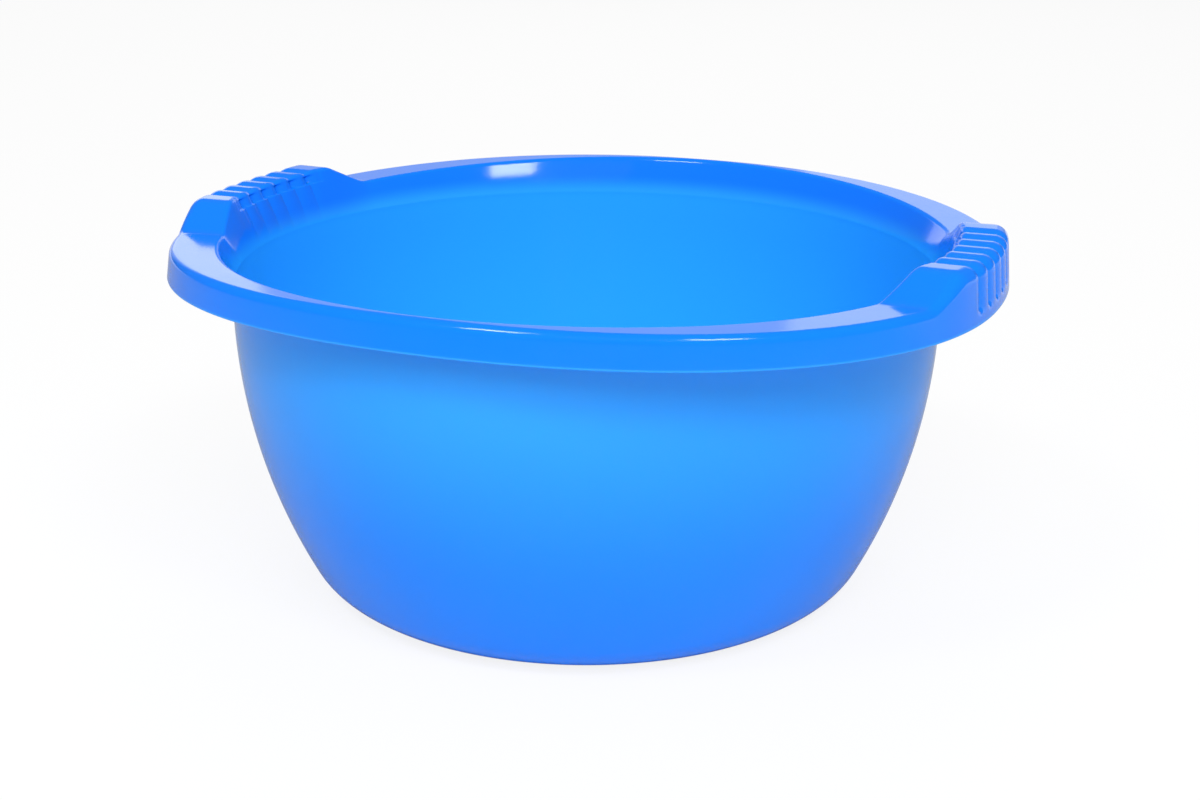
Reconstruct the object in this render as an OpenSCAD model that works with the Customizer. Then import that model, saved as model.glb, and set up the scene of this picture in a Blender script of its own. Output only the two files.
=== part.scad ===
// Round washing up bowl with a wide flanged rim and two raised, ribbed grips.
// The real bowl is one injection moulding. Its floor, wall, two lengths of rim and two grips are
// kept here as separate solids that meet face to face along the lines where the form changes.
// Origin: centre of the foot ring on the table. X runs through both grips, Z is up.

/* [Bowl] */
// Height of the flat rim above the table
rim_h = 167.4; // [160:0.1:200]
// Radius of the mouth below the rounding of the rim's inner lip
mouth_r = 168.3; // [155:0.1:180]
// How far the wall stands inside the mouth
wall_in = 3.1; // [1.2:0.1:4]
// Height of the upright band between the curved wall and the flare
upright_band = 11.4; // [3:0.2:14]
// Radius of the long arc that the wall follows in section
belly_arc_r = 270; // [225:5:330]
// Radius of the short arc between the wall and the floor
heel_arc_r = 27; // [15:1:45]
// Thickness of the moulding
wall_t = 2; // [1.6:0.1:2.2]

/* [Foot] */
// Width of the ring that the bowl stands on
foot_w = 5; // [3:0.5:10]
// How far the floor is raised inside the foot ring
foot_recess = 1.4; // [0.6:0.1:3]

/* [Rim] */
// How far the skirt's lower edge stands outside the mouth at the grips
end_flange = 26.4; // [24:0.1:34]
// How far the skirt's lower edge stands outside the mouth at the middle of each side
side_flange = 10; // [9.6:0.2:22]
// Squareness of the rim's outline in plan: 2 is an ellipse
rim_square = 2.16; // [2:0.01:2.5]
// How far the rim rises at the middle of its sides and falls at the grips
rim_bow = 2.8; // [0:0.1:4]
// Height over which the wall flares out to the rim
flare_h = 18; // [16:0.5:24]
// Radius of the rim's inner lip
lip_r = 3.5; // [2.5:0.1:4]
// Radius of the rim's outer top edge
rim_edge_r = 4; // [2.5:0.1:4.4]
// Depth of the skirt that hangs from the rim's outer edge
skirt_h = 14.2; // [12:0.1:18]
// How far the skirt leans outwards at its lower edge
skirt_lean = 1.5; // [0:0.1:1.7]

/* [Grips] */
// Height of a grip's top above the rim
grip_rise = 11.5; // [6:0.5:16]
// How far a grip's inner edge stands back from the rim's
grip_back = 2; // [0:0.1:3]
// Length of a grip's level top
grip_l = 86; // [78:1:100]
// Length of the ramp at each end of a grip
ramp_l = 27; // [18:1:36]
// Thickness of the moulding under the grooves
grip_t = 2.8; // [2.6:0.1:3.6]
// Radius of a grip's outer top edge
grip_edge_r = 6.5; // [4:0.5:8]
// Radius of a grip's inner top edge
grip_lip_r = 3; // [2:0.1:4]

/* [Grooves] */
// Number of grooves across a grip
groove_n = 6; // [2:2:6]
// Distance from groove to groove
groove_pitch = 12.3; // [9:0.1:13]
// Depth of a groove
groove_d = 1.4; // [0.6:0.1:1.6]
// How far a groove runs down a grip's inner face
groove_in = 6; // [5:0.5:7]
// Height of the plain band between the grooves' lower ends and the skirt's edge
groove_stop = 4; // [2:0.5:5]
// Length over which a groove fades out at its lower end
groove_fade = 3; // [1:0.5:4]

/* [Hidden] */
bowl_blue = "#2b86ff";
skirt_blue = "#3f97ff";
grip_blue = "#5aa4ff";

wall_r = mouth_r - wall_in;
rim_half_l = mouth_r + end_flange;
rim_half_w = mouth_r + side_flange;

// The section's two arcs: the belly arc ends upright below the flare, and the heel arc touches
// both the table and the inside of the belly arc.
wall_top = rim_h - flare_h;
upright_h = wall_top - upright_band;
belly_c = [wall_r - belly_arc_r, upright_h];
arcs_gap = belly_arc_r - heel_arc_r;
heel_c = [belly_c.x + sqrt(arcs_gap * arcs_gap - pow(upright_h - heel_arc_r, 2)), heel_arc_r];
floor_r = heel_c.x;
turn_a = atan2(heel_c.y - belly_c.y, heel_c.x - belly_c.x);
arc_step = 6;
around = 144;

// Plan angle, measured from the X axis, at the foot of a grip's ramps
end_a = asin((grip_l / 2 + ramp_l) / mouth_r);
// A section across the rim turns this far from the true radius, so grooves run side by side
section_turn = 3;
// Stations along the work: steps per groove, steps per ramp, and steps along each side's rim
groove_steps = 8;
ramp_steps = 8;
rim_steps = 30;
least_r = 0.3;

function clamp01(v) = min(1, max(0, v));
function ease(v) = let (u = clamp01(v)) u * u * (3 - 2 * u);
function mix(a, b, k) = a + (b - a) * k;

// A straight ramp with a short round at its foot and head
function ramp(v) =
    let (u = clamp01(v), e = 0.22)
    u < e ? u * u / (2 * e * (1 - e))
    : u > 1 - e ? 1 - pow(1 - u, 2) / (2 * e * (1 - e))
    : (u - e / 2) / (1 - e);

// Points on an arc about a centre in the section's plane
function arc(c, r, from, to) =
    let (n = ceil(abs(to - from) / arc_step))
    [for (i = [0 : n]) let (a = mix(from, to, i / n)) [c.x + r * cos(a), c.y + r * sin(a)]];

// The angle from the nearer end of the X axis
function from_x(a) = acos(min(1, abs(cos(a))));

// Height of the flat rim, and share of the full grip height
function rim_z(a) = rim_h - rim_bow * cos(2 * a);
function grip_share(a) = ramp((grip_l / 2 + ramp_l - mouth_r * sin(from_x(a))) / ramp_l);

// The rim's outline above the lean of its skirt: a superellipse read at a plan angle
function outline_r(a) =
    let (
        part_l = abs(cos(a)) / (rim_half_l - skirt_lean),
        part_w = abs(sin(a)) / (rim_half_w - skirt_lean)
    )
    pow(pow(part_l, rim_square) + pow(part_w, rim_square), -1 / rim_square);

// Depth of the grooves at a station: nothing on a ridge, all of it on a groove's line
function groove(a) =
    let (
        place = mouth_r * sin(from_x(a)) / groove_pitch + groove_n / 2,
        line = min(groove_n - 0.5, floor(place) + 0.5),
        off = min(1, abs(place - line) * 2)
    )
    abs(cos(a)) < cos(end_a) ? 0 : groove_d * pow(1 - off, 2);

// The plan points where a section starts on the mouth and where it meets the outline
function inner_pt(a) = mouth_r * [cos(a), sin(a)];
function outer_pt(a) = let (b = a - section_turn * sin(2 * a)) outline_r(b) * [cos(b), sin(b)];

// Angle from upright at the head of the flare, a parabola that starts upright on the wall
function head_tilt(out, lip, zt) =
    let (
        near = atan2(2 * (out + wall_in + wall_t), zt - lip - wall_top),
        far_out = out + wall_in + wall_t + lip * (1 - cos(near))
    )
    atan2(2 * far_out, zt - lip * (1 - sin(near)) - wall_top);

// One section of rim or grip at plan angle a, from the flare's foot over the rim to the skirt's
// edge. Each entry holds the point on the outside and the point under it through the thickness.
function skin(a, grooved) =
    let (
        share = grip_share(a),
        t = mix(wall_t, grip_t, share),
        zf = rim_z(a),
        zt = zf + grip_rise * share,
        back = grip_back * share,
        lip = mix(lip_r, grip_lip_r, share),
        edge = mix(rim_edge_r, grip_edge_r, share),
        under_lip = max(lip, t + least_r),
        under_edge = max(edge, t + least_r),
        reach = outer_pt(a) - inner_pt(a),
        w = norm(reach),
        zc = zt - edge,
        zb = zf - skirt_h,
        tilt = head_tilt(back, lip, zt),
        head = [back + lip * (1 - cos(tilt)), zt - lip * (1 - sin(tilt))],
        under_head = [back + under_lip - (under_lip - t) * cos(tilt),
            zt - under_lip + (under_lip - t) * sin(tilt)],
        low = (zt - groove_in - 0.6 - wall_top) / (head.y - wall_top),
        high = (zt - groove_in + 0.6 - wall_top) / (head.y - wall_top),
        g = grooved ? groove(a) : 0,
        line = [inner_pt(a), reach / w]
    )
    concat(
        [for (f = [[0, 0], [0.25, 0], [0.5, 0], [low, 0], [high, 1]])
            [flare_pt(a, line, wall_r - wall_t, head, f[0], f[1] * g),
             flare_pt(a, line, wall_r, under_head, f[0], 0)]],
        [for (v = [0 : 0.25 : 1]) let (p = mix(tilt, 90, v))
            [at(line, back + lip - (lip - g) * cos(p), zt - lip + (lip - g) * sin(p)),
             at(line, back + under_lip - (under_lip - t) * cos(p),
                zt - under_lip + (under_lip - t) * sin(p))]],
        [for (p = [0, 30, 60, 90])
            [at(line, w - edge + (edge - g) * sin(p), zc + (edge - g) * cos(p)),
             at(line, w - under_edge + (under_edge - t) * sin(p),
                zt - under_edge + (under_edge - t) * cos(p))]],
        grooved ? [for (f = [[groove_stop + groove_fade, 1], [groove_stop, 0]])
            let (lean = skirt_lean * (zc - zb - f[0]) / (zc - zb))
            [at(line, w + lean - f[1] * g, zb + f[0]), at(line, w + lean - t, zb + f[0])]] : [],
        [[at(line, w + skirt_lean, zb), at(line, w + skirt_lean - t, zb)]]
    );

// A point on a section's line, at a distance out from the mouth and a height
function at(line, out, z) = let (xy = line[0] + out * line[1]) [xy.x, xy.y, z];

// A point on the flare at share v of its height, pushed out by cut
function flare_pt(a, line, foot_r, head, v, cut) =
    let (
        foot = foot_r * [cos(a), sin(a)],
        top = line[0] + head.x * line[1],
        xy = mix(foot, top, v * v) + cut * line[1]
    )
    [xy.x, xy.y, mix(wall_top, head.y, v)];

// A closed shell run through the stations, with its ends closed by strips across the thickness
module shell_run(stations, grooved) {
    rows = [for (a = stations) let (s = skin(a, grooved), n = len(s))
        concat([for (p = s) p[0]], [for (i = [n - 1 : -1 : 0]) s[i][1]])];
    m = len(rows[0]);
    last = len(rows) - 1;
    sides = [for (i = [0 : last - 1], k = [0 : m - 1])
        let (k2 = (k + 1) % m, a = i * m + k, b = i * m + k2, c = a + m, d = b + m)
        each [[a, b, d], [a, d, c]]];
    ends = [for (k = [0 : m / 2 - 2])
        let (a = k, b = k + 1, c = m - 2 - k, d = m - 1 - k, f = last * m)
        each [[a, c, b], [a, d, c], [f + a, f + b, f + c], [f + a, f + c, f + d]]];
    polyhedron(points = [for (r = rows) each r], faces = concat(sides, ends), convexity = 10);
}

// Stations over one half of a grip, from its middle to its end: fine over the grooves
ridge_reach = groove_pitch * groove_n / 2;
half_grip = concat(
    [for (i = [1 : groove_steps * groove_n / 2]) asin(i * groove_pitch / groove_steps / mouth_r)],
    [for (i = [0 : ramp_steps]) asin(max(ridge_reach, grip_l / 2 + ramp_l * i / ramp_steps) / mouth_r)]
);
grip_stations = concat(
    [for (i = [len(half_grip) - 1 : -1 : 0]) -half_grip[i]], [0], half_grip
);
side_stations = [for (i = [0 : rim_steps]) mix(end_a, 180 - end_a, i / rim_steps)];

// Floor panel, raised inside the ring that the bowl stands on
module base() {
    inner = floor_r - foot_w;
    color(bowl_blue)
    rotate_extrude($fn = around)
    polygon([
        [0, foot_recess], [inner - foot_recess, foot_recess], [inner, 0], [floor_r, 0],
        [floor_r, wall_t], [inner, wall_t], [inner - foot_recess, foot_recess + wall_t],
        [0, foot_recess + wall_t]
    ]);
}

// Side wall: heel arc, belly arc, then upright to the foot of the flare
module wall() {
    outside = concat(
        arc(heel_c, heel_arc_r, -90, turn_a), arc(belly_c, belly_arc_r, turn_a, 0),
        [[wall_r, wall_top]]
    );
    inside = concat(
        [[wall_r - wall_t, wall_top]], arc(belly_c, belly_arc_r - wall_t, 0, turn_a),
        arc(heel_c, heel_arc_r - wall_t, turn_a, -90)
    );
    color(bowl_blue) rotate_extrude($fn = around) polygon(concat(outside, inside));
}

// Rim along the side nearer to the washer up: flare, lip, flat flange and skirt
module front_rim() {
    color(skirt_blue) shell_run([for (a = side_stations) a + 180], false);
}

// The same rim along the far side
module back_rim() {
    color(skirt_blue) shell_run(side_stations, false);
}

// Ribbed grip at the left end, with the length of rim that carries it
module left_handle() {
    color(grip_blue) shell_run([for (a = grip_stations) a + 180], true);
}

// Ribbed grip at the right end
module right_handle() {
    color(grip_blue) shell_run(grip_stations, true);
}

base();
wall();
front_rim();
back_rim();
left_handle();
right_handle();
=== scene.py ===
"""Round washing up bowl with a flanged rim and two raised, ribbed grips.

The bowl is one injection moulding in blue polypropylene. Sizes are in millimetres, and a mesh
is scaled to metres when it is made. X runs through both grips, Y to the back, Z up.
"""

import bpy
import numpy as np
from mathutils import Matrix


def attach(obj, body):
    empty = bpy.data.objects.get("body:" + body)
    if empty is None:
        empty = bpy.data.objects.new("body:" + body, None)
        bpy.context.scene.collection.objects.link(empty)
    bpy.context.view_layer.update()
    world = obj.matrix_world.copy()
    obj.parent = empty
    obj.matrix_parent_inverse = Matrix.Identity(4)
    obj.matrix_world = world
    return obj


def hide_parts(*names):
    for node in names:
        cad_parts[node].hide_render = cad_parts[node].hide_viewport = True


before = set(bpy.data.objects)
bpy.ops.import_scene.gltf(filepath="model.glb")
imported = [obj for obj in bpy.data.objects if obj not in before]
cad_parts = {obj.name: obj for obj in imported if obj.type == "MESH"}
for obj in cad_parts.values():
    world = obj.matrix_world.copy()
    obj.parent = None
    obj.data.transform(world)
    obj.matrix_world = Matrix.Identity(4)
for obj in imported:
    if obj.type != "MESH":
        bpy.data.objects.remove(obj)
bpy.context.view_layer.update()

# ---------------------------------------------------------------- floor panel
# The round bottom of the moulding, 2 mm thick. It is raised a little inside a narrow ring, so
# that the bowl stands on the ring alone and doesn't rock. Glossy inside and out.

MM = 0.001
WALL_T = 2.0
MOUTH_R = 169.2
FLARE_OUT = 4.0
WALL_R = MOUTH_R - FLARE_OUT
UPRIGHT_H = 138.0
BELLY_R = 270.0
HEEL_R = 27.0
BELLY_X = WALL_R - BELLY_R
HEEL_X = BELLY_X + np.sqrt((BELLY_R - HEEL_R) ** 2 - (UPRIGHT_H - HEEL_R) ** 2)
FOOT_W = 5.0
FOOT_RECESS = 1.4
FOOT_STEP_W = 2.1

# Painted light and shade: light through the wall is painted in as a paler blue, in full inside up
# to the skirt's painted shade, and outside more and more from the foot to the mouth
PALE_TOP = 161.0
PALE_FADE = 12.0
OUTSIDE_LEAST = 0.15
OUTSIDE_MORE = 0.45
OUTSIDE_FROM = 45.0
OUTSIDE_RISE = 100.0
# The skirt's thin bottom edge gets a fixed share of the painted light
THIN_EDGE_SHARE = 0.5


def linear(hex_colour):
    """An sRGB hex colour as linear RGBA: c/12.92 below 0.04045, else ((c+0.055)/1.055)^2.4."""
    c = np.array([int(hex_colour[i:i + 2], 16) for i in (1, 3, 5)]) / 255
    c = np.where(c <= 0.04045, c / 12.92, ((c + 0.055) / 1.055) ** 2.4)
    return (*c.tolist(), 1.0)


def add_node(tree, kind, inputs=None, **settings):
    """Adds one shader node, sets its settings, and links or sets each of its inputs."""
    node = tree.nodes.new(kind)
    for key, value in settings.items():
        setattr(node, key, value)
    for key, value in (inputs or {}).items():
        if isinstance(value, bpy.types.NodeSocket):
            tree.links.new(value, node.inputs[key])
        else:
            node.inputs[key].default_value = value
    return node


def polypropylene(name, scuffs=()):
    """Glossy injection-moulded polypropylene, dyed through; light through the wall is painted
    paler.

    The polished mould leaves a clear gloss with a faint long ripple from shrinkage, and the dye
    varies a little along the flow. scuffs lists places and their reach, in mm, where fine rubs
    dull the gloss.
    """
    material = bpy.data.materials.new(name)
    material.use_nodes = True
    tree = material.node_tree
    tree.nodes.clear()
    here = add_node(tree, "ShaderNodeTexCoord").outputs["Object"]
    # Dye streaks about 90 mm across, from the way the plastic filled the mould
    dye = add_node(tree, "ShaderNodeTexNoise", {
        "Vector": here, "Scale": 1 / (91.0 * MM), "Detail": 2.0})
    blue = add_node(tree, "ShaderNodeMix", {
        "Factor": dye.outputs["Fac"], 6: linear("#0a78f4"), 7: linear("#0e7ef8")},
        data_type="RGBA")
    # Shrinkage ripple with a wavelength of about 30 mm, which bends the reflections a little
    ripple = add_node(tree, "ShaderNodeTexNoise", {
        "Vector": here, "Scale": 1 / (29.4 * MM), "Detail": 1.0})
    soft = add_node(tree, "ShaderNodeBump", {
        "Strength": 0.12, "Distance": 1.2 * MM, "Height": ripple.outputs["Fac"]})
    # The mould's fine grain softens the gloss. It is drawn 0.7 mm coarse, so that it shows
    grain = add_node(tree, "ShaderNodeTexNoise", {
        "Vector": here, "Scale": 1 / (0.714 * MM), "Detail": 1.0})
    relief = add_node(tree, "ShaderNodeBump", {
        "Strength": 0.05, "Distance": 0.2 * MM, "Height": grain.outputs["Fac"],
        "Normal": soft.outputs["Normal"]})
    # A polished mould gives a roughness near 0.1, and the flow changes it a little
    gloss = add_node(tree, "ShaderNodeMapRange", {
        "Value": dye.outputs["Fac"], "From Min": 0.3, "From Max": 0.7,
        "To Min": 0.08, "To Max": 0.11})
    roughness = gloss.outputs["Result"]
    # Painted light: where light comes through the wall, the blue is painted paler
    painted_through_light = add_node(tree, "ShaderNodeAttribute", attribute_name="paler").outputs["Fac"]
    pale = add_node(tree, "ShaderNodeMix", {
        "Factor": painted_through_light, 6: blue.outputs[2], 7: linear("#2caafc")}, data_type="RGBA")
    colour = pale.outputs[2]
    for place, reach in scuffs:
        # Rubs about 1.4 mm wide and 8 mm long, turned 40 degrees, only within reach of the place
        centre = tuple(c * MM for c in place)
        along = add_node(tree, "ShaderNodeMapping", {
            "Vector": here, "Rotation": (0.0, 0.0, np.radians(40)), "Scale": (1.0, 0.18, 1.0)})
        rubs = add_node(tree, "ShaderNodeTexNoise", {
            "Vector": along.outputs["Vector"], "Scale": 1 / (1.43 * MM), "Detail": 3.0,
            "Roughness": 0.7})
        marks = add_node(tree, "ShaderNodeMapRange", {
            "Value": rubs.outputs["Fac"], "From Min": 0.58, "From Max": 0.64})
        away = add_node(tree, "ShaderNodeVectorMath", {0: here, 1: centre}, operation="DISTANCE")
        near = add_node(tree, "ShaderNodeMapRange", {
            "Value": away.outputs["Value"], "From Min": reach * MM * 0.4, "From Max": reach * MM,
            "To Min": 1.0, "To Max": 0.0}, interpolation_type="SMOOTHSTEP")
        worn = add_node(tree, "ShaderNodeMath", {
            0: marks.outputs["Result"], 1: near.outputs["Result"]}, operation="MULTIPLY")
        rough = add_node(tree, "ShaderNodeMath", {
            0: worn.outputs[0], 1: 0.35, 2: roughness}, operation="MULTIPLY_ADD")
        roughness = rough.outputs[0]
        dulled = add_node(tree, "ShaderNodeMix", {
            "Factor": worn.outputs[0], 6: colour, 7: linear("#3f7fc8")}, data_type="RGBA")
        colour = dulled.outputs[2]
    plastic = add_node(tree, "ShaderNodeBsdfPrincipled", {
        "Base Color": colour, "Roughness": roughness, "IOR": 1.49,
        "Normal": relief.outputs["Normal"]})
    add_node(tree, "ShaderNodeOutputMaterial", {"Surface": plastic.outputs["BSDF"]})
    return material


def grid_normals(grid, wraps):
    """Unit normals of a grid of stations by rows: the step along the rows crossed with the step
    from station to station. The outermost rows are there only for this and are left out of the
    result, and so are the outermost stations of a run that doesn't wrap round."""
    around = np.roll(grid, -1, axis=0) - np.roll(grid, 1, axis=0)
    along = grid[:, 2:] - grid[:, :-2]
    normal = np.cross(along, around[:, 1:-1])
    normal = normal / np.maximum(np.linalg.norm(normal, axis=2, keepdims=True), 1e-9)
    return normal if wraps else normal[1:-1]


def eased(v):
    """A smooth step from 0 to 1: 3u^2 - 2u^3, with u held between 0 and 1."""
    u = np.clip(v, 0, 1)
    return u * u * (3 - 2 * u)


def shell_faces(count, rows, wraps, poles):
    """Faces of a shell made of count rings with rows points each, as two lists of point numbers.

    The first list holds the shown faces: quads from ring to ring, and two fans to the last two
    points where the shell has poles. The second holds the strips that meet the next piece.
    """
    i = np.arange(count if wraps else count - 1)[:, None] * rows
    j = np.arange(rows)[None, :]
    i2, j2 = (i + rows) % (count * rows), (j + 1) % rows
    skin = np.stack([i + j, i + j2, i2 + j2, i2 + j], axis=2)
    shown, joints = skin[:, :-1].reshape(-1, 4).tolist(), skin[:, -1].tolist()
    if poles:
        i, i2 = i[:, 0], i2[:, 0]
        pole = i * 0 + count * rows
        shown += np.stack([pole, i, i2], 1).tolist()
        shown += np.stack([pole + 1, i2 + rows - 1, i + rows - 1], 1).tolist()
        joints = []
    if not wraps:
        k = np.arange(rows // 2 - 1)
        strip = np.stack([k, rows - 1 - k, rows - 2 - k, k + 1], 1)
        joints += strip.tolist() + (strip[:, ::-1] + (count - 1) * rows).tolist()
    return shown, joints


def painted_light_share(points, row, rows, edge_rows):
    """Share of the paler blue that paints light through the wall: 1 on the inside up to the
    painted shade under the skirt, less on the outside but more towards the mouth, and a fixed
    share on the last edge_rows rows of the upper face."""
    z = points[:, 2]
    free = (np.hypot(points[:, 0], points[:, 1]) < MOUTH_R) * eased((PALE_TOP - z) / PALE_FADE)
    outside = OUTSIDE_LEAST + OUTSIDE_MORE * eased((z - OUTSIDE_FROM) / OUTSIDE_RISE)
    share = free * np.where(row < rows // 2, 1, outside)
    share[(row >= rows // 2 - edge_rows) & (row < rows // 2)] = THIN_EDGE_SHARE
    return share


def moulded_piece(name, top, under, material, wraps=False, poles=False, edge_rows=0):
    """A closed shell between two grids, the skin's two faces, with rows in pairs.

    The rows of top and then those of under, backwards, make one closed ring at each station, and
    rings are joined by quads. An open run is closed at both ends by strips between the pairs. A
    panel with poles is closed at its centre by two fans. The shown faces carry the moulding's own
    smooth normals, so that the light runs on from piece to piece. The last edge_rows rows of top
    are a thin edge, on which light through the edge is painted in as a paler blue.
    """
    normals = np.concatenate(
        [grid_normals(top, wraps), -grid_normals(under, wraps)[:, ::-1]], axis=1)
    kept = slice(None) if wraps else slice(1, -1)
    ring = np.concatenate([top[kept, 1:-1], under[kept, -2:0:-1]], axis=1)
    count, rows = ring.shape[:2]
    points, normals = ring.reshape(-1, 3), normals.reshape(-1, 3)
    row = np.arange(count * rows) % rows
    if poles:
        points = np.concatenate([points, points[[0, rows - 1]] * [0, 0, 1]])
        normals = np.concatenate([normals, [[0, 0, 1], [0, 0, -1]]])
        row = np.concatenate([row, [0, rows - 1]])
    shown, joints = shell_faces(count, rows, wraps, poles)
    mesh = bpy.data.meshes.new(name)
    mesh.from_pydata((points * MM).tolist(), [], shown + joints)
    smooth = np.arange(len(mesh.polygons)) < len(shown)
    mesh.polygons.foreach_set("use_smooth", smooth)
    corner_point = np.empty(len(mesh.loops), np.int32)
    mesh.loops.foreach_get("vertex_index", corner_point)
    corners = np.empty(len(mesh.polygons), np.int32)
    mesh.polygons.foreach_get("loop_total", corners)
    corner_normal = normals[corner_point]
    corner_normal[np.repeat(~smooth, corners)] = 0
    mesh.normals_split_custom_set(corner_normal.tolist())
    # Each point's share of painted light through the wall, drawn as a paler blue
    paler = mesh.attributes.new("paler", "FLOAT", "POINT")
    paler.data.foreach_set("value", painted_light_share(points, row, rows, edge_rows))
    mesh.materials.append(material)
    piece = bpy.data.objects.new(name, mesh)
    bpy.context.collection.objects.link(piece)
    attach(piece, "root")
    return piece


def turned(radius, height):
    """A profile swept round Z at 1 degree steps: x = r cos a, y = r sin a, z = height."""
    a = np.linspace(0, 2 * np.pi, 361)[:-1, None]
    return np.stack([radius * np.cos(a), radius * np.sin(a), height + 0 * a], axis=2)


# Level panel, the step down to the ring, and the ring
foot_step = np.linspace(0, 1, 9)
step_r = HEEL_X - FOOT_W - FOOT_RECESS + foot_step * FOOT_STEP_W
panel_r = np.concatenate([np.linspace(0, step_r[0] - 3, 14), step_r, HEEL_X - [0.5, 0, -1]])
panel_r[0] = 3
panel_z = np.concatenate([
    np.full(14, FOOT_RECESS), FOOT_RECESS * (1 - eased(foot_step)), np.zeros(3)])
base = moulded_piece(
    "moulded_floor", turned(panel_r, panel_z + WALL_T), turned(panel_r, panel_z),
    polypropylene("polypropylene, moulded floor panel"), wraps=True, poles=True)
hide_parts("base")

# ----------------------------------------------------------------------- wall
# The bowl's side: a short arc up from the foot, then a long arc that comes upright near the
# rim, all 2 mm thick. The mould is polished, so the wall mirrors the studio softly.

RIM_H = 167.4
FLARE_H = 16.0
WALL_TOP = RIM_H - FLARE_H
# Angle at which the short arc gives way to the long one
turn = np.arctan2(HEEL_R - UPRIGHT_H, HEEL_X - BELLY_X)


def wall_face(inset):
    """The wall's outline moved inwards by inset, as a swept grid: r = centre + radius cos t and
    z = centre + radius sin t on each of its two arcs, and then straight up."""
    heel = np.linspace(-np.pi / 2, turn, 16)
    belly = np.linspace(turn, 0, 26)[1:]
    radius = np.concatenate([
        [HEEL_X - 1], HEEL_X + (HEEL_R - inset) * np.cos(heel),
        BELLY_X + (BELLY_R - inset) * np.cos(belly), np.full(5, WALL_R - inset)])
    height = np.concatenate([
        [inset], HEEL_R + (HEEL_R - inset) * np.sin(heel),
        UPRIGHT_H + (BELLY_R - inset) * np.sin(belly),
        np.linspace(UPRIGHT_H, WALL_TOP, 5)[1:], [WALL_TOP + 1]])
    return turned(radius, height)


wall = moulded_piece(
    "moulded_wall", wall_face(WALL_T), wall_face(0),
    polypropylene("polypropylene, moulded wall"), wraps=True)
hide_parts("wall")

# ------------------------------------------------------- rim, front and back
# The wall flares out to a round lip. The moulding goes on as a flat flange, rolls over a rounded
# edge and hangs down outside as a skirt, which stiffens the mouth. In plan the flange is hardly
# wider than its roundings at the front and back, and 25 mm wide at the grips.

FLARE_POWER = 1.25
END_FLANGE = 25.5
SIDE_FLANGE = 9.1
RIM_SQUARE = 2.16
RIM_BOW = 2.8
SKIRT_H = 14.2
SKIRT_LEAN = 1.5
RIM_EDGE_R = 4.0
LIP_R = 3.0
LEAST_R = 0.3
SKIRT_ROUND = 0.7
SKIRT_BOTTOM_ROWS = 5
SECTION_TURN = np.radians(3.0)
GRIP_RISE = 11.5
GRIP_BACK = 2.0
GRIP_L = 86.0
RAMP_L = 27.0
RAMP_ROUNDING = 0.22
GRIP_T = 2.8
GRIP_EDGE_R = 6.5
GRIP_LIP_R = 3.0
GROOVE_IN = 6.0
GROOVE_STOP = 4.0
GROOVE_FADE = 3.5
LEDGE_H = 0.4
PANEL_IN = 0.6
PANEL_L = 80.0
PANEL_EDGE_W = 1.5
GRIP_END = np.arcsin((GRIP_L / 2 + RAMP_L) / MOUTH_R)


def grip_share(a):
    """Share of the grip's height at plan angle a: a straight ramp rounded at foot and head.

    Over the first share e of the ramp it grows with the distance squared, then evenly, and over
    the last share e it comes to rest in the same way.
    """
    u = np.clip((GRIP_L / 2 + RAMP_L - MOUTH_R * np.abs(np.sin(a))) / RAMP_L, 0, 1)
    e = RAMP_ROUNDING
    foot = u * u / (2 * e * (1 - e))
    head = 1 - (1 - u) ** 2 / (2 * e * (1 - e))
    return np.where(u < e, foot, np.where(u > 1 - e, head, (u - e / 2) / (1 - e)))


def mixed(a, b, k):
    """The value k of the way from a to b."""
    return a + (b - a) * k


def steps(n, ends=True):
    """n even steps from 0 to 1 as one row, with or without the ends."""
    return np.linspace(0, 1, n)[None, :] if ends else np.linspace(0, 1, n + 2)[None, 1:-1]


def outline_radius(b):
    """Plan radius at angle b of the line where the flange rolls over: a superellipse,
    (|cos b| / long)^n + (|sin b| / short)^n = 1 / r^n."""
    long = MOUTH_R + END_FLANGE - SKIRT_LEAN
    short = MOUTH_R + SIDE_FLANGE - SKIRT_LEAN
    return ((np.abs(np.cos(b)) / long) ** RIM_SQUARE
            + (np.abs(np.sin(b)) / short) ** RIM_SQUARE) ** (-1 / RIM_SQUARE)


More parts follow.
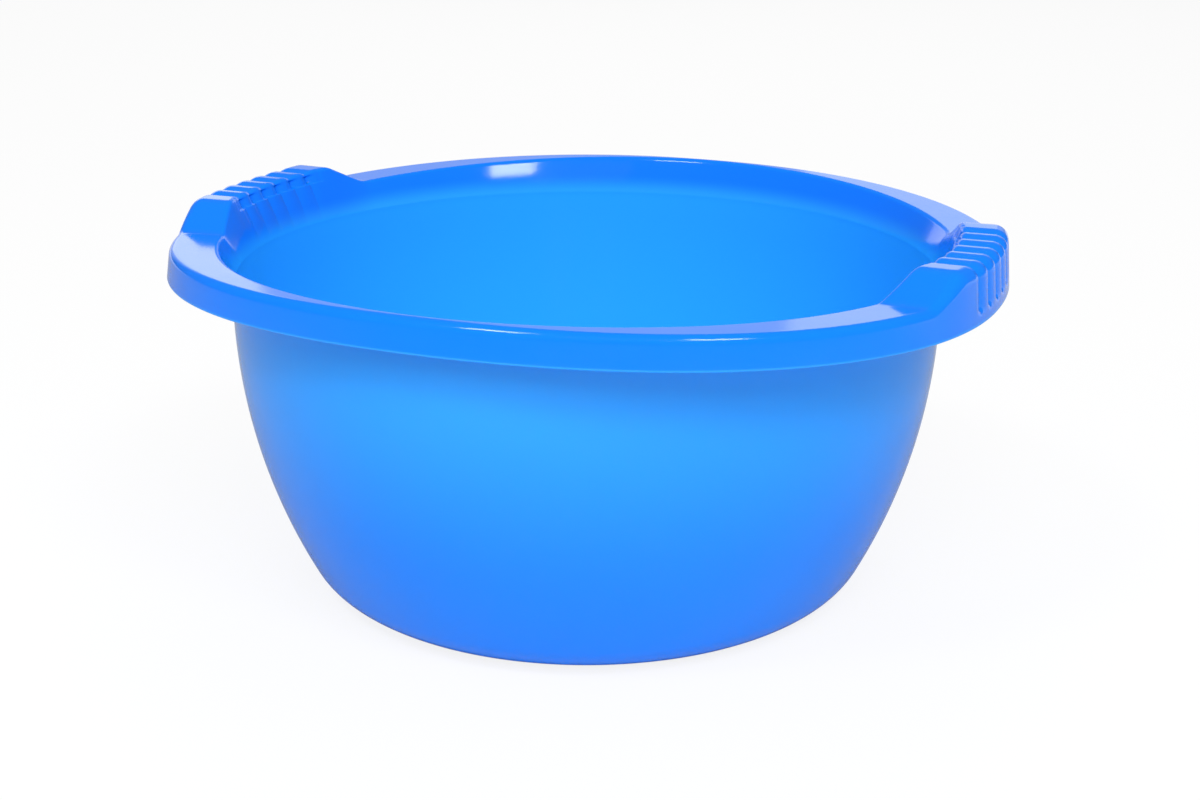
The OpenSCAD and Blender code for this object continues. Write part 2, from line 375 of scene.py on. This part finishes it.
def rim_faces(stations, groove):
    """Both faces of the rim or a grip, as grids of stations by rows.

    At a station the section runs up the flare, over the lip's arc, across the flat, over the
    edge's arc, down the skirt and round its bottom. It stands on a line from the mouth to the
    outline. Along the flare the height grows with v and the distance out with v^p, so that
    tan(tilt) = p x distance / height where the flare meets the lip. groove(a) gives how deep the
    grooves are, and they are cut along the section's own normal.
    """
    a = stations[:, None]
    share = grip_share(a)
    ribbed = eased((PANEL_L / 2 - MOUTH_R * np.abs(np.sin(a))) / PANEL_EDGE_W)
    t = mixed(WALL_T, GRIP_T, share)
    flat_z = RIM_H - RIM_BOW * np.cos(2 * a)
    top_z = flat_z + GRIP_RISE * share
    skirt_z = flat_z - SKIRT_H
    set_back = GRIP_BACK * share + PANEL_IN * ribbed
    lip = mixed(LIP_R, GRIP_LIP_R, share)
    edge = mixed(RIM_EDGE_R, GRIP_EDGE_R, share)
    lean = np.arctan2(SKIRT_LEAN, top_z - edge - skirt_z)

    # Plan direction of the section, from the mouth's circle to the outline
    around = np.concatenate([np.cos(a), np.sin(a)], axis=1)
    mouth = MOUTH_R * around
    b = a - SECTION_TURN * np.sin(2 * a)
    reach = outline_radius(b) * np.concatenate([np.cos(b), np.sin(b)], axis=1) - mouth
    width = np.linalg.norm(reach, axis=1, keepdims=True)
    reach = reach / width

    # Angle from upright at the head of the flare, found in three steps
    tilt = 0 * a
    for _ in range(3):
        distance = set_back + FLARE_OUT + WALL_T + lip * (1 - np.cos(tilt))
        height = top_z - lip * (1 - np.sin(tilt)) - WALL_TOP
        tilt = np.arctan2(FLARE_POWER * distance, height)

    quarter = mixed(tilt, np.pi / 2, steps(9))
    across = steps(8, ends=False)
    over = steps(13) * (np.pi / 2 - lean)
    down = steps(16, ends=False)
    under_turn = steps(SKIRT_BOTTOM_ROWS) * np.pi / 2

    def face(depth, side, foot_r, cut, panel_in):
        """One face as points: depth below the upper one, with smaller arcs to match.

        Side is 1 for the upper face and -1 for the under face, which bend towards each other
        round the skirt's bottom. The grooves and the panel that they lie in end at a ledge.
        """
        lip_r, edge_r = np.maximum(LEAST_R, lip - depth), np.maximum(LEAST_R, edge - depth)
        start, end, top = set_back + depth, width - depth, top_z - depth
        skirt_out = end - edge_r * (1 - np.cos(lean)), end + SKIRT_LEAN
        skirt_high = top - edge_r * (1 - np.sin(lean)), skirt_z + SKIRT_ROUND
        skirt_cut = cut * eased(
            (mixed(*skirt_high, down) - skirt_z - GROOVE_STOP) / GROOVE_FADE)
        out = np.concatenate([
            start + lip_r - (lip_r - cut) * np.cos(quarter),
            mixed(start + lip_r, end - edge_r, across),
            end - edge_r + (edge_r - cut) * np.sin(over),
            mixed(*skirt_out, down) - skirt_cut * np.cos(lean),
            skirt_out[1] - side * SKIRT_ROUND * (1 - np.cos(under_turn)),
            width + SKIRT_LEAN - t / 2], axis=1)
        high = np.concatenate([
            top - lip_r + (lip_r - cut) * np.sin(quarter),
            top - cut + 0 * across,
            top - edge_r + (edge_r - cut) * np.cos(over),
            mixed(*skirt_high, down) - skirt_cut * np.sin(lean),
            skirt_high[1] - SKIRT_ROUND * np.sin(under_turn),
            skirt_z], axis=1)

        # The flare's rows lie closer together round the ledge
        foot = foot_r * around[:, None]
        head = (mouth + out[:, :1] * reach)[:, None]
        rise = high[:, :1] - WALL_TOP
        low, tall = [(top_z - GROOVE_IN + d - WALL_TOP) / rise for d in (-LEDGE_H, LEDGE_H)]
        v = np.concatenate([
            mixed(0, low, steps(11)), mixed(low, tall, steps(5, ends=False)),
            mixed(tall, 1, steps(7)[:, :-1])], axis=1)
        above = eased((v - low) / (tall - low))
        inset = cut * above - panel_in * ribbed * v ** FLARE_POWER * (1 - above)
        flare = mixed(foot, head, (v ** FLARE_POWER)[:, :, None])
        flare = flare + inset[:, :, None] * reach[:, None]
        section = mouth[:, None] + out[:, :, None] * reach[:, None]
        xy = np.concatenate([foot, flare, section], axis=1)
        z = np.concatenate([WALL_TOP - 1 + 0 * rise, WALL_TOP + rise * v, high], axis=1)
        return np.concatenate([xy, z[:, :, None]], axis=2)

    return (face(0, 1, WALL_R - WALL_T, groove(a), PANEL_IN),
            face(t, -1, WALL_R, 0 * a, 0))


def plain(a):
    """No grooves."""
    return 0 * a


# Fine rubs on the left of the flange, just in front of the ramp, where stacked bowls touch
RUBS_AT = (-174.0, -72.0, 165.5)
RUBS_REACH = 9.0

run = np.linspace(GRIP_END, np.pi - GRIP_END, 181)
run = np.concatenate([[2 * run[0] - run[1]], run, [2 * run[-1] - run[-2]]])
rim_plastic = polypropylene("polypropylene, moulded rim", scuffs=[(RUBS_AT, RUBS_REACH)])
for side, half in (("back", 0.0), ("front", np.pi)):
    rim = moulded_piece(
        f"moulded_rim_{side}", *rim_faces(run + half, plain), rim_plastic,
        edge_rows=SKIRT_BOTTOM_ROWS)
    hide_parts(f"{side}_rim")

# ---------------------------------------------------------------------- grips
# At each end the flange rises over two ramps to a level grip, thicker than the wall and hollow
# below for the fingers. Six grooves run side by side over the grip and down its skirt, and stop
# above its edge, so that wet hands don't slip.

GROOVE_N = 6
GROOVE_PITCH = 12.3
GROOVE_D = 1.4


def grooves(a):
    """Depth on a ridge is 0 and on a groove's line full: d (1 - off)^2, with off the distance
    from the nearest line in half pitches, measured across the grip."""
    place = MOUTH_R * np.sin(a) * np.sign(np.cos(a)) / GROOVE_PITCH + GROOVE_N / 2
    line = np.clip(np.floor(place), 0, GROOVE_N - 1) + 0.5
    return GROOVE_D * (1 - np.minimum(1, np.abs(place - line) * 2)) ** 2


ridged = np.arcsin(np.linspace(0, 1, 73) * GROOVE_N / 2 * GROOVE_PITCH / MOUTH_R)
ramped = np.linspace(ridged[-1], GRIP_END, 42)[1:]
half_run = np.concatenate([ridged, ramped, [2 * ramped[-1] - ramped[-2]]])
run = np.concatenate([-half_run[:0:-1], half_run])
grip_plastic = polypropylene("polypropylene, moulded grips")
for end, half in (("right", 0.0), ("left", np.pi)):
    grip = moulded_piece(
        f"moulded_grip_{end}", *rim_faces(run + half, grooves), grip_plastic,
        edge_rows=SKIRT_BOTTOM_ROWS)
    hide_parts(f"{end}_handle")

# --------------------------------------------------------------------- studio
# A plain pale sheet to stand on, even soft light from all round, and large panels. The camera
# sees plain white round the bowl, and the sheet keeps its faint shadow. Reflections see a darker
# studio, with a grey wall and pale panels behind the bowl and a softbox on each side in front.

SHEET_HALF = 6.0
SHEET_Z = -0.0003
SHEET_WHITE = 0.86
FILL_LEVEL = 0.5
WALL_LEVEL = 0.55
DARK_LEVEL = 0.1
WALL_AZ, WALL_EL = np.radians([114.0, 12.0])
WALL_WAY = (float(np.cos(WALL_EL) * np.cos(WALL_AZ)), float(np.cos(WALL_EL) * np.sin(WALL_AZ)),
            float(np.sin(WALL_EL)))

sheet_mesh = bpy.data.meshes.new("pale_sheet")
sheet_mesh.from_pydata(
    [(x * SHEET_HALF, y * SHEET_HALF, SHEET_Z) for x, y in ((-1, -1), (1, -1), (1, 1), (-1, 1))],
    [], [(0, 1, 2, 3)])
sheet = bpy.data.objects.new("pale_sheet", sheet_mesh)
bpy.context.collection.objects.link(sheet)
matte = bpy.data.materials.new("matte white card")
matte.use_nodes = True
tree = matte.node_tree
tree.nodes.clear()
path = add_node(tree, "ShaderNodeLightPath")
card_colour = add_node(tree, "ShaderNodeMix", {
    "Factor": path.outputs["Is Glossy Ray"], 6: linear("#f4f4f4"), 7: linear("#b0b0b0")},
    data_type="RGBA")
card = add_node(tree, "ShaderNodeBsdfDiffuse", {"Color": card_colour.outputs[2]})
white = add_node(tree, "ShaderNodeEmission", {"Color": linear("#ffffff"), "Strength": 1.0})
# Reflections see the sheet lit from 0.4 m behind the bowl on, which draws the lip's bright line
on_sheet = add_node(tree, "ShaderNodeTexCoord").outputs["Object"]
sheet_axes = add_node(tree, "ShaderNodeSeparateXYZ", {"Vector": on_sheet})
lit_back = add_node(tree, "ShaderNodeMapRange", {
    "Value": sheet_axes.outputs["Y"], "From Min": 0.4, "From Max": 1.2, "To Max": 0.9})
lit_mirrored = add_node(tree, "ShaderNodeMath", {
    0: lit_back.outputs["Result"], 1: path.outputs["Is Glossy Ray"]}, operation="MULTIPLY")
lifted = add_node(tree, "ShaderNodeMath", {
    0: path.outputs["Is Camera Ray"], 1: SHEET_WHITE, 2: lit_mirrored.outputs[0]},
    operation="MULTIPLY_ADD")
both = add_node(tree, "ShaderNodeMixShader", {
    0: lifted.outputs[0], 1: card.outputs[0], 2: white.outputs[0]})
add_node(tree, "ShaderNodeOutputMaterial", {"Surface": both.outputs[0]})
sheet_mesh.materials.append(matte)

world = bpy.data.worlds.new("studio")
bpy.context.scene.world = world
world.use_nodes = True
tree = world.node_tree
tree.nodes.clear()
path = add_node(tree, "ShaderNodeLightPath")
way = add_node(tree, "ShaderNodeTexCoord").outputs["Generated"]
way_axes = add_node(tree, "ShaderNodeSeparateXYZ", {"Vector": way})
# The grey wall ends between 17 and 25 degrees up, and between 34 and 22 degrees from its middle
ceiling = add_node(tree, "ShaderNodeMapRange", {
    "Value": way_axes.outputs["Z"], "From Min": 0.30, "From Max": 0.42, "To Min": 1.0,
    "To Max": 0.0}, interpolation_type="SMOOTHSTEP")
off_middle = add_node(tree, "ShaderNodeVectorMath", {0: way, 1: WALL_WAY}, operation="DOT_PRODUCT")
behind = add_node(tree, "ShaderNodeMapRange", {
    "Value": off_middle.outputs["Value"], "From Min": 0.83, "From Max": 0.93},
    interpolation_type="SMOOTHSTEP")
grey_wall = add_node(tree, "ShaderNodeMath", {
    0: ceiling.outputs["Result"], 1: behind.outputs["Result"]}, operation="MULTIPLY")
mirrored_level = add_node(tree, "ShaderNodeMath", {
    0: grey_wall.outputs[0], 1: WALL_LEVEL, 2: DARK_LEVEL}, operation="MULTIPLY_ADD")
unseen_level = add_node(tree, "ShaderNodeMix", {
    0: path.outputs["Is Glossy Ray"], 2: FILL_LEVEL, 3: mirrored_level.outputs[0]},
    data_type="FLOAT")
level = add_node(tree, "ShaderNodeMix", {
    0: path.outputs["Is Camera Ray"], 2: unseen_level.outputs[0], 3: 1.0}, data_type="FLOAT")
sky = add_node(tree, "ShaderNodeBackground", {
    "Color": linear("#ffffff"), "Strength": level.outputs[0]})
add_node(tree, "ShaderNodeOutputWorld", {"Surface": sky.outputs[0]})

AIM_POINT = np.array([0, 0, 0.12])


def panel(name, place, size, power, mirrored=True):
    """A soft rectangular lamp at a place in metres, with a size in metres and a power in watts,
    turned to the bowl. One that isn't mirrored lights the bowl without a highlight of its own."""
    lamp = bpy.data.lights.new(name, "AREA")
    lamp.shape = "RECTANGLE"
    lamp.size, lamp.size_y = size
    lamp.energy = power
    holder = bpy.data.objects.new(name, lamp)
    holder.visible_glossy = mirrored
    back = np.array(place) - AIM_POINT
    back = back / np.linalg.norm(back)
    right = np.cross([0, 0, 1], back)
    right = right / np.linalg.norm(right)
    turned_to = Matrix(np.column_stack([right, np.cross(back, right), back]).tolist()).to_4x4()
    turned_to.translation = place
    holder.matrix_world = turned_to
    bpy.context.collection.objects.link(holder)


# The softboxes make the short highlights on the lip and the rolled edge, and the panels behind
# make both ends of the flange pale. The fills only light the bowl, most from the front right.
panel("left_softbox", (-0.42, -1.22, 1.78), (0.42, 0.36), 8.0)
panel("right_softbox", (1.17, -0.91, 1.66), (0.5, 0.4), 9.0)
panel("left_panel", (-2.1, 2.28, 0.8), (0.75, 0.8), 1.6)
panel("right_panel", (-0.42, 3.0, 0.8), (0.6, 0.8), 0.85)
panel("front_fill", (0.85, -1.8, 2.0), (1.6, 1.2), 38.0, mirrored=False)
panel("back_fill", (-0.7, 1.9, 1.9), (1.6, 1.2), 12.0, mirrored=False)

# --------------------------------------------------------------------- camera
# Fitted to the photograph's frame of 1200 by 800: 22 degrees round to the right, 18 degrees above
# the table, a little under 0.9 m from the point that it is aimed at.

CAMERA_AZ, CAMERA_EL, CAMERA_ROLL = np.radians([22.137, 18.379, 0.112])
CAMERA_D = 0.88305
FOCAL_PX = 1822.5
FRAME_PX = 1200
SENSOR_W = 36.0
AIM_Z = 0.083216
AIM_RIGHT = 0.006144

right = np.array([np.cos(CAMERA_AZ), np.sin(CAMERA_AZ), 0])
back = np.array([np.sin(CAMERA_AZ) * np.cos(CAMERA_EL), -np.cos(CAMERA_AZ) * np.cos(CAMERA_EL),
                 np.sin(CAMERA_EL)])
up = np.cross(back, right)
aim = np.array([0, 0, AIM_Z]) + right * AIM_RIGHT
lens = bpy.data.cameras.new("camera")
lens.sensor_width = SENSOR_W
lens.lens = FOCAL_PX / FRAME_PX * SENSOR_W
camera = bpy.data.objects.new("camera", lens)
rolled_right = right * np.cos(CAMERA_ROLL) + up * np.sin(CAMERA_ROLL)
rolled_up = up * np.cos(CAMERA_ROLL) - right * np.sin(CAMERA_ROLL)
pose = Matrix(np.column_stack([rolled_right, rolled_up, back]).tolist()).to_4x4()
pose.translation = (aim + back * CAMERA_D).tolist()
camera.matrix_world = pose
bpy.context.collection.objects.link(camera)
bpy.context.scene.camera = camera
bpy.context.scene.view_settings.view_transform = "Standard"
